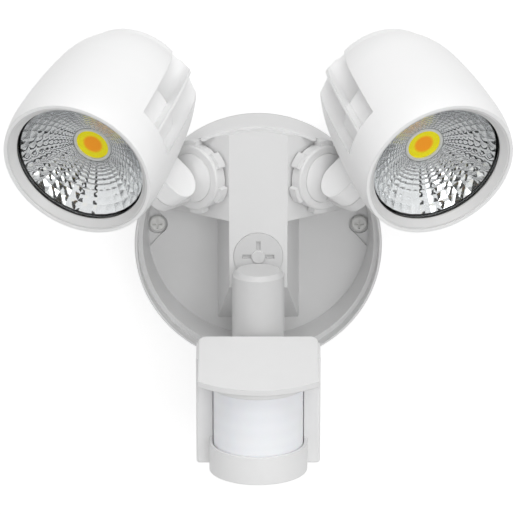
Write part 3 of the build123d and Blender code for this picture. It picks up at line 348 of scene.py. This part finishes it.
def bowl_column():
    """One column of pillow facets with the strip of flange and shell behind it.

    The bowl's axes are left-handed, so the faces here run the other way round.
    """
    centre, radius = arc_centre((bowl_r, flange_front), (bowl_mid_r, bowl_mid_back),
                                (bowl_hole_r, bowl_back))
    half = math.pi / facet_columns
    shrink = (bowl_hole_r / bowl_r) ** (1 / facet_rows)
    points, faces = [], []

    def bowl_point(r, angle):
        s = centre.y + math.sqrt(max(radius ** 2 - (r - centre.x) ** 2, 0.0))
        return Vector((r * math.cos(angle), r * math.sin(angle), s))

    for row in range(facet_rows):
        outer = bowl_r * shrink ** row
        inner = outer * shrink
        corners = [bowl_point(outer, -half), bowl_point(outer, half),
                   bowl_point(inner, -half), bowl_point(inner, half)]
        normal = (corners[1] - corners[0]).cross(corners[2] - corners[0]).normalized()
        if normal.z > 0:
            normal = -normal
        rise = facet_pillow * (corners[1] - corners[0]).length
        first = len(points)
        for i in range(facet_steps + 1):
            for j in range(facet_steps + 1):
                u, v = i / facet_steps, j / facet_steps
                flat = corners[0].lerp(corners[2], u).lerp(corners[1].lerp(corners[3], u), v)
                swell = (1 - (2 * u - 1) ** 2) * (1 - (2 * v - 1) ** 2)
                points.append(flat + normal * rise * swell)
        for i in range(facet_steps):
            for j in range(facet_steps):
                a = first + i * (facet_steps + 1) + j
                faces.append((a, a + 1, a + facet_steps + 2, a + facet_steps + 1))
    shell_middle = (bowl_mid_r + 0.5 * bowl_wall, bowl_mid_back + 0.9 * bowl_wall)
    shell = [(bowl_r, flange_front), (flange_r, flange_front), (flange_r, flange_back),
             (bowl_r + bowl_wall, flange_back), shell_middle,
             (bowl_hole_r, bowl_back + bowl_wall), (bowl_hole_r, bowl_back)]
    first = len(points)
    for r, s in shell:
        start = Vector((r * math.cos(-half), r * math.sin(-half), s))
        end = Vector((r * math.cos(half), r * math.sin(half), s))
        points += [start.lerp(end, j / facet_steps) for j in range(facet_steps + 1)]
    for k in range(len(shell) - 1):
        for j in range(facet_steps):
            a = first + k * (facet_steps + 1) + j
            faces.append((a, a + facet_steps + 1, a + facet_steps + 2, a + 1))
    mesh = bpy.data.meshes.new("bowl_column")
    mesh.from_pydata([p / 1000 for p in points], [], faces)
    return mesh


def turned_repeat(name):
    """Geometry nodes that repeat a mesh about its Z axis. Inputs: Count and Finish."""
    group = bpy.data.node_groups.new(name, "GeometryNodeTree")
    group.interface.new_socket("Geometry", in_out="INPUT", socket_type="NodeSocketGeometry")
    group.interface.new_socket("Count", in_out="INPUT", socket_type="NodeSocketInt")
    group.interface.new_socket("Finish", in_out="INPUT", socket_type="NodeSocketMaterial")
    group.interface.new_socket("Geometry", in_out="OUTPUT", socket_type="NodeSocketGeometry")
    given = node(group, "NodeGroupInput")
    spots = node(group, "GeometryNodePoints", links={"Count": given.outputs["Count"]})
    number = node(group, "GeometryNodeInputIndex")
    step = node(group, "ShaderNodeMath", {"operation": "DIVIDE", 0: 2 * math.pi},
                {1: given.outputs["Count"]})
    turn = node(group, "ShaderNodeMath", {"operation": "MULTIPLY"},
                {0: number.outputs[0], 1: step.outputs[0]})
    spin = node(group, "ShaderNodeCombineXYZ", links={"Z": turn.outputs[0]})
    copies = node(group, "GeometryNodeInstanceOnPoints",
                  links={"Points": spots.outputs[0], "Instance": given.outputs["Geometry"],
                         "Rotation": spin.outputs[0]})
    real = node(group, "GeometryNodeRealizeInstances", links={"Geometry": copies.outputs[0]})
    coated = node(group, "GeometryNodeSetMaterial",
                  links={"Geometry": real.outputs[0], "Material": given.outputs["Finish"]})
    node(group, "NodeGroupOutput", links={0: coated.outputs[0]})
    return group


# Vacuum-metallised plastic: a bright neutral mirror with a trace of haze.
metallised = surface(
    "vacuum_metallised_polycarbonate", light="#F6F7F8", dark="#ECEDEE", drift_mm=8.0, grain_mm=0.6,
    relief_mm=0.0004, gloss=(0.03, 0.07), edge_mm=0.05, Metallic=1.0)

repeat_column = turned_repeat("facet_columns_about_axis")
sockets = {item.name: item.identifier for item in repeat_column.interface.items_tree}
for side in sides:
    blank = bpy.data.objects.new(f"facet_blank_{side}", bowl_column())
    bpy.context.collection.objects.link(blank)
    repeat = blank.modifiers.new("repeat", "NODES")
    repeat.node_group = repeat_column
    repeat[sockets["Count"]] = facet_columns
    repeat[sockets["Finish"]] = metallised
    shaped = blank.evaluated_get(bpy.context.evaluated_depsgraph_get())
    mesh = bpy.data.meshes.new_from_object(shaped)
    bpy.data.objects.remove(blank)
    mesh.transform(head_frame[side])
    if side == "right":
        mesh.flip_normals()
    mesh.shade_smooth()
    bowl = bpy.data.objects.new(f"faceted_reflector_{side}", mesh)
    bpy.context.collection.objects.link(bowl)
    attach(bowl, f"head_{side}")
    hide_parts(f"reflector_{side}")

# ---------------------------------------------------------------------------
# LED boards: round boards with an aluminium core, fixed to the floors of the
# cups, which carry their heat away.
# ---------------------------------------------------------------------------

# White solder mask over aluminium: flat white with a soft gloss.
board_mask = surface(
    "white_solder_mask_board", light="#EFEFEA", dark="#E2E2DC", drift_mm=4.0, grain_mm=0.4,
    relief_mm=0.006, gloss=(0.32, 0.44), edge_mm=0.15)
dress(board_mask, "led_board_left", "led_board_right")

# ---------------------------------------------------------------------------
# LED emitters: chips under a disc of silicone gel filled with yellow phosphor,
# which shows orange over the chips in the middle.
# ---------------------------------------------------------------------------

chips_r = 0.0037
fade_r = 0.0056
emitter_face = 0.0157

for side in sides:
    # Phosphor gel: greenish yellow at the rim, orange over the chips; a faint painted glow (emission)
    # lifts it, since little light reaches it in the cup.
    phosphor = surface(
        f"phosphor_silicone_gel_painted_glow_{side}", light="#F7EA00", dark="#EADC00", drift_mm=1.6, grain_mm=0.3,
        relief_mm=0.004, gloss=(0.34, 0.46), edge_mm=0.1,
        **{"Emission Strength": 0.24})
    phosphor_tree = phosphor.node_tree
    gel = phosphor_tree.nodes["Principled BSDF"]
    middle = head_frame[side] @ Vector((0, 0, emitter_face))
    spot = node(phosphor_tree, "ShaderNodeTexCoord")
    away = node(phosphor_tree, "ShaderNodeVectorMath", {"operation": "DISTANCE", 1: middle},
                {0: spot.outputs["Object"]})
    over_chips = node(phosphor_tree, "ShaderNodeMapRange",
                      {"interpolation_type": "SMOOTHSTEP", 1: chips_r, 2: fade_r, 3: 1.0, 4: 0.0},
                      {0: away.outputs["Value"]})
    rim_tone = gel.inputs["Base Color"].links[0].from_socket
    glow = node(phosphor_tree, "ShaderNodeMix", {"data_type": "RGBA", 7: linear("#FF9E08")},
                {0: over_chips.outputs[0], 6: rim_tone})
    phosphor_tree.links.new(glow.outputs[2], gel.inputs["Base Color"])
    # The same tone also drives the painted glow of the gel.
    phosphor_tree.links.new(glow.outputs[2], gel.inputs["Emission Color"])
    dress(phosphor, f"led_emitter_{side}")

# ---------------------------------------------------------------------------
# LED holders: white rings moulded in glass-filled PBT, fixed over the boards so
# that they clamp the emitters.
# ---------------------------------------------------------------------------

# Glass-filled PBT: bright white and slightly chalky.
holder_moulding = surface(
    "white_moulded_pbt_holder", light="#F1F1EE", dark="#E7E7E3", drift_mm=4.0, grain_mm=0.3,
    relief_mm=0.008, gloss=(0.40, 0.52), edge_mm=0.2)
dress(holder_moulding, "led_holder_left", "led_holder_right")

# ---------------------------------------------------------------------------
# Sensor arm: a disc with tool slots, a neck and a round post, moulded in one
# piece. The disc turns in the front of the canopy.
# ---------------------------------------------------------------------------

# Moulded polycarbonate: white, a touch greyer than the coat, with a fine even texture.
arm_moulding = surface(
    "textured_polycarbonate_arm", light="#D6D6D6", dark="#CECECE", drift_mm=18.0, grain_mm=0.6,
    relief_mm=0.012, gloss=(0.36, 0.48), edge_mm=0.5)
dress(arm_moulding, "sensor_arm")

# ---------------------------------------------------------------------------
# Arm bolt and nut, and the retainer plate: the bolt's round head is the hub of
# the disc. The nut pulls the disc against the plate inside the canopy.
# ---------------------------------------------------------------------------

# Painted steel: white, a little greyer than the coat, smooth on the round head.
hub_paint = surface(
    "white_painted_bolt_head", light="#DADADA", dark="#CFCFCF", drift_mm=3.0, grain_mm=0.4,
    relief_mm=0.006, gloss=(0.30, 0.42), edge_mm=0.2)
dress(hub_paint, "arm_bolt")

# Zinc plate on small fasteners: grey metal with a faint yellow passivation.
plated_fastener = surface(
    "zinc_plated_fastener", light="#C6CACE", dark="#AEB2B0", drift_mm=3.0, grain_mm=0.3,
    relief_mm=0.004, gloss=(0.26, 0.40), edge_mm=0.15, Metallic=1.0)
dress(plated_fastener, "arm_nut", "arm_retainer")

# ---------------------------------------------------------------------------
# Sensor collar: a moulded sleeve that turns on the stub of the post, with two
# trunnions for the tilt. A steel clip holds it from below.
# ---------------------------------------------------------------------------

# Acetal: white and slippery, a little translucent.
acetal_sleeve = surface(
    "white_moulded_acetal", light="#DDDDDD", dark="#D3D3D3", drift_mm=8.0, grain_mm=0.4,
    relief_mm=0.006, gloss=(0.30, 0.42), edge_mm=0.3,
    **{"Subsurface Weight": 0.1, "Subsurface Scale": 0.002})
dress(acetal_sleeve, "sensor_collar")

# Stamped spring steel, zinc plated: grey with a thin bright edge.
clip_steel = surface(
    "stamped_plated_spring_clip", light="#C2C6CA", dark="#A6AAAE", drift_mm=2.5, grain_mm=0.3,
    relief_mm=0.004, gloss=(0.26, 0.40), edge_mm=0.15, Metallic=1.0)
dress(clip_steel, "collar_clip")

# ---------------------------------------------------------------------------
# Tilt screws: two cross-head screws of stainless steel, driven into the trunnions
# of the collar through the lugs of the sensor.
# ---------------------------------------------------------------------------

# Stainless steel: bright, with fine drawing marks.
tilt_steel = surface(
    "stainless_tilt_screw", light="#D0D1D2", dark="#B4B6B8", drift_mm=2.5, grain_mm=0.25,
    relief_mm=0.004, gloss=(0.22, 0.36), edge_mm=0.2, Metallic=1.0)
dress(tilt_steel, "tilt_screws")

# ---------------------------------------------------------------------------
# Sensor shell: a rear cover with hinge lugs, a front shell with the lens frame
# and the cup, and a sloping hood, moulded in white polycarbonate.
# ---------------------------------------------------------------------------

# Moulded polycarbonate: satin white with a fine tool texture and softly rounded edges.
shell_moulding = surface(
    "textured_polycarbonate_shell", light="#F1F1F1", dark="#EAEAEA", drift_mm=22.0, grain_mm=0.6,
    relief_mm=0.012, gloss=(0.36, 0.48), edge_mm=0.6)
dress(shell_moulding, "sensor_back", "sensor_housing")

# The hood is the same moulding, seen flat on, so its texture is a little finer; its tone is painted a
# shade darker than the shell's, as painted shade.
shaded_hood_moulding = surface(
    "textured_polycarbonate_hood_painted_darker", light="#EFEFEF", dark="#E9E9E9", drift_mm=26.0, grain_mm=0.5,
    relief_mm=0.010, gloss=(0.38, 0.50), edge_mm=0.8)
dress(shaded_hood_moulding, "sensor_hood")

# ---------------------------------------------------------------------------
# Sensor lens: a bent film of milky polyethylene with lens segments pressed on
# its inner side, held between the frame and the cup.
# ---------------------------------------------------------------------------

lens_centre_z = -0.066
segment_high_mm = 7.5
band_strength = 0.12
wave_length = 2 * math.pi / 20  # of a wave texture at a scale of 1

# Milky polyethylene: cool white and soft, light goes a little way in; faint bands of segments.
lens_film = surface(
    "milky_polyethylene_film", light="#FCFDFF", dark="#F6F7FC", drift_mm=14.0, grain_mm=0.5,
    relief_mm=0.004, gloss=(0.26, 0.36), edge_mm=0.3,
    **{"Subsurface Weight": 0.08, "Subsurface Scale": 0.002})
lens_tree = lens_film.node_tree
film = lens_tree.nodes["Principled BSDF"]
lens_place = node(lens_tree, "ShaderNodeTexCoord")
lens_centre = node(lens_tree, "ShaderNodeMapping", {"Location": (0, 0, -lens_centre_z)},
                   {"Vector": lens_place.outputs["Object"]})
segments = node(lens_tree, "ShaderNodeTexWave",
                {"bands_direction": "Z", "wave_profile": "SIN",
                 "Scale": 1000 / segment_high_mm * wave_length},
                {"Vector": lens_centre.outputs[0]})
segment_share = node(lens_tree, "ShaderNodeMath", {"operation": "MULTIPLY", 1: band_strength},
                     {0: segments.outputs["Fac"]})
film_tone = film.inputs["Base Color"].links[0].from_socket
banded = node(lens_tree, "ShaderNodeMix", {"data_type": "RGBA", 7: linear("#E6E8F0")},
              {0: segment_share.outputs[0], 6: film_tone})
lens_tree.links.new(banded.outputs[2], film.inputs["Base Color"])
dress(lens_film, "sensor_lens")

# ---------------------------------------------------------------------------
# Sensor board and dial board: etched glass-fibre boards under a green solder mask,
# fixed inside the shell behind the lens and over the dials.
# ---------------------------------------------------------------------------

track_mm = 1.6
track_edge_at = 0.6

# Green solder mask: copper tracks show through it as a lighter green.
solder_mask = surface(
    "green_solder_mask", light="#1E6A3C", dark="#17552F", drift_mm=5.0, grain_mm=0.4, relief_mm=0.006,
    gloss=(0.30, 0.42), edge_mm=0.1)
mask_tree = solder_mask.node_tree
mask = mask_tree.nodes["Principled BSDF"]
mask_place = node(mask_tree, "ShaderNodeTexCoord")
tracks = node(mask_tree, "ShaderNodeTexVoronoi",
              {"feature": "F1", "distance": "MANHATTAN", "Scale": 1000 / track_mm / 2},
              {"Vector": mask_place.outputs["Object"]})
track_edge = node(mask_tree, "ShaderNodeMath", {"operation": "GREATER_THAN", 1: track_edge_at},
                  {0: tracks.outputs["Distance"]})
mask_tone = mask.inputs["Base Color"].links[0].from_socket
tracked = node(mask_tree, "ShaderNodeMix", {"data_type": "RGBA", 7: linear("#2F8A50")},
               {0: track_edge.outputs[0], 6: mask_tone})
mask_tree.links.new(tracked.outputs[2], mask.inputs["Base Color"])
dress(solder_mask, "sensor_board", "dial_board")

# ---------------------------------------------------------------------------
# Heat detector: a can pressed from nickel-plated steel, soldered to the sensor
# board behind the lens.
# ---------------------------------------------------------------------------

# Nickel plate: a warm grey metal with soft press marks.
nickel_can = surface(
    "pressed_nickel_can", light="#CFC9B8", dark="#B8B2A0", drift_mm=3.0, grain_mm=0.25, relief_mm=0.003,
    gloss=(0.22, 0.34), edge_mm=0.2, Metallic=1.0)
dress(nickel_can, "pyro_detector")

# ---------------------------------------------------------------------------
# Dials: three slotted knobs moulded in grey acetal, snapped into the bottom of
# the cup, for on-time, range and dusk level.
# ---------------------------------------------------------------------------

# Acetal coloured in the mass: dark grey and slightly waxy.
grey_acetal = surface(
    "grey_moulded_acetal", light="#626467", dark="#4F5154", drift_mm=3.0, grain_mm=0.3, relief_mm=0.006,
    gloss=(0.38, 0.50), edge_mm=0.2)
dress(grey_acetal, "time_dial", "range_dial", "dusk_dial")

# ---------------------------------------------------------------------------
# Studio: a white wall that the light hangs on, a pale floor far below it, dark
# flags that only reflections see, daylight and two softboxes.
# ---------------------------------------------------------------------------

wall_gap = 0.0008
floor_z = -0.35
floor_front = -2.5
stage_half = 2.0
wall_top = 2.2
wall_glow_level = 0.66
daylight_level = 0.52
white_level = 1.0
lit_point = (0, -0.05, 0)


def stage_card(name, corners, material):
    """A flat card of the studio: wall, floor or flag."""
    mesh = bpy.data.meshes.new(name)
    mesh.from_pydata(corners, [], [(0, 1, 2, 3)])
    mesh.materials.append(material)
    card = bpy.data.objects.new(name, mesh)
    bpy.context.collection.objects.link(card)
    return card


# Matt emulsion: lifted to white for the camera, so that only soft shadows are seen on it. Its back
# is clear, so the light can be looked at from behind.
wall_paint = bpy.data.materials.new("lit_matt_emulsion")
wall_paint.use_nodes = True
wall_tree = wall_paint.node_tree
wall_tree.nodes.clear()
wall_matt = node(wall_tree, "ShaderNodeBsdfDiffuse", {"Color": linear("#E6E6E6")})
wall_shaded = node(wall_tree, "ShaderNodeBsdfDiffuse", {"Color": linear("#BCBCBC")})
wall_glow = node(wall_tree, "ShaderNodeEmission", {"Strength": wall_glow_level})
wall_seen = node(wall_tree, "ShaderNodeAddShader",
                 links={0: wall_shaded.outputs[0], 1: wall_glow.outputs[0]})
wall_path = node(wall_tree, "ShaderNodeLightPath")
wall_mix = node(wall_tree, "ShaderNodeMixShader",
                links={0: wall_path.outputs["Is Camera Ray"], 1: wall_matt.outputs[0],
                       2: wall_seen.outputs[0]})
wall_none = node(wall_tree, "ShaderNodeBsdfTransparent")
wall_side = node(wall_tree, "ShaderNodeNewGeometry")
wall_front = node(wall_tree, "ShaderNodeMixShader",
                  links={0: wall_side.outputs["Backfacing"], 1: wall_mix.outputs[0],
                         2: wall_none.outputs[0]})
node(wall_tree, "ShaderNodeOutputMaterial", links={"Surface": wall_front.outputs[0]})

# The wall takes shadows but keeps no light from the back of the object.
wall = stage_card("studio_wall", [
    (-stage_half, wall_gap, floor_z), (stage_half, wall_gap, floor_z),
    (stage_half, wall_gap, wall_top), (-stage_half, wall_gap, wall_top)], wall_paint)
wall.visible_diffuse = False
wall.visible_glossy = False
wall.visible_shadow = False
stage_card("studio_floor", [
    (-stage_half, floor_front, floor_z), (stage_half, floor_front, floor_z),
    (stage_half, wall_gap, floor_z), (-stage_half, wall_gap, floor_z)], wall_paint)

# Dark flags in front of the light and under it, seen only in reflections: the mirror's dark cells.
flag_y = -1.5
low_flag_z = floor_z + 0.01
low_flag_half = 1.5
low_flag_deep = 0.05
low_flag_pitch = 0.14
low_flag_first = -1.36
low_flag_rows = 9
# Left edge, width, bottom and top of each upright flag.
upright_flags = ((-1.3, 0.3, -0.3, 0.6), (-0.4, 0.26, -0.5, 0.9),
                 (0.14, 0.26, -0.5, 0.9), (1.0, 0.3, -0.3, 0.6))
flag_black = bpy.data.materials.new("black_studio_flag")
flag_black.use_nodes = True
flag_tree = flag_black.node_tree
flag_tree.nodes.clear()
flag_tone = node(flag_tree, "ShaderNodeEmission", {"Color": linear("#2C2C2C"), "Strength": 1.0})
node(flag_tree, "ShaderNodeOutputMaterial", links={"Surface": flag_tone.outputs[0]})
flags = [(f"upright_flag_{left}", [(left, flag_y, bottom), (left + wide, flag_y, bottom),
                                   (left + wide, flag_y, top), (left, flag_y, top)])
         for left, wide, bottom, top in upright_flags]
for row in range(low_flag_rows):
    near = round(low_flag_first + row * low_flag_pitch, 2)
    far = near + low_flag_deep
    flags.append((f"low_flag_{near}", [
        (-low_flag_half, near, low_flag_z), (low_flag_half, near, low_flag_z),
        (low_flag_half, far, low_flag_z), (-low_flag_half, far, low_flag_z)]))
for name, corners in flags:
    flag = stage_card(name, corners, flag_black)
    flag.visible_camera = False
    flag.visible_diffuse = False
    flag.visible_shadow = False

world = bpy.data.worlds.new("studio_air")
bpy.context.scene.world = world
world.use_nodes = True
air = world.node_tree
air.nodes.clear()
soft_air = node(air, "ShaderNodeBackground", {"Strength": daylight_level})
white_air = node(air, "ShaderNodeBackground", {"Strength": white_level})
for background in (soft_air, white_air):
    background.inputs["Color"].default_value = (1, 1, 1, 1)
air_path = node(air, "ShaderNodeLightPath")
seen_air = node(air, "ShaderNodeMath", {"operation": "MAXIMUM"},
                {0: air_path.outputs["Is Camera Ray"], 1: air_path.outputs["Is Glossy Ray"]})
any_air = node(air, "ShaderNodeMath", {"operation": "MAXIMUM"},
               {0: seen_air.outputs[0], 1: air_path.outputs["Is Transmission Ray"]})
air_mix = node(air, "ShaderNodeMixShader",
               links={0: any_air.outputs[0], 1: soft_air.outputs[0], 2: white_air.outputs[0]})
node(air, "ShaderNodeOutputWorld", links={"Surface": air_mix.outputs[0]})


def softbox(name, place, size, power):
    """A square lamp that faces the object, with its power in watts."""
    light = bpy.data.lights.new(name, "AREA")
    light.shape = "SQUARE"
    light.size = size
    light.energy = power
    lamp = bpy.data.objects.new(name, light)
    lamp.location = place
    lamp.rotation_euler = (Vector(lit_point) - Vector(place)).to_track_quat("-Z", "Y").to_euler()
    bpy.context.collection.objects.link(lamp)


softbox("top_softbox", place=(0.05, -0.7, 1.3), size=0.9, power=7.6)
softbox("front_softbox", place=(0.45, -1.8, 0.45), size=1.0, power=8.5)

# ---------------------------------------------------------------------------
# Camera: 1.6 m away and a little above the light, looking down 17 degrees through
# a long lens, with the middle of the base where the picture has it.
# ---------------------------------------------------------------------------

camera_away_mm = 1600.0
camera_tilt = math.radians(17.0)
mm_per_pixel = 0.4955
frame_pixels = 515
base_centre_pixel = (258.3, 240.7)
base_centre_mm = Vector((0, -27.4, 0))
look = Vector((0, math.cos(camera_tilt), -math.sin(camera_tilt)))
up = Vector((0, math.sin(camera_tilt), math.cos(camera_tilt)))
across = Vector((1, 0, 0))
eye = (base_centre_mm - look * camera_away_mm
       - across * (base_centre_pixel[0] - frame_pixels / 2) * mm_per_pixel
       + up * (base_centre_pixel[1] - frame_pixels / 2) * mm_per_pixel)
camera_data = bpy.data.cameras.new("camera")
camera_data.sensor_width = 36.0
camera_data.lens = camera_away_mm / mm_per_pixel / frame_pixels * camera_data.sensor_width
camera_data.clip_start = 0.1
camera_data.clip_end = 20.0
camera = bpy.data.objects.new("camera", camera_data)
camera.location = eye / 1000
camera.rotation_euler = (math.pi / 2 - camera_tilt, 0, 0)
bpy.context.collection.objects.link(camera)
bpy.context.scene.camera = camera
bpy.context.scene.view_settings.view_transform = "Standard"
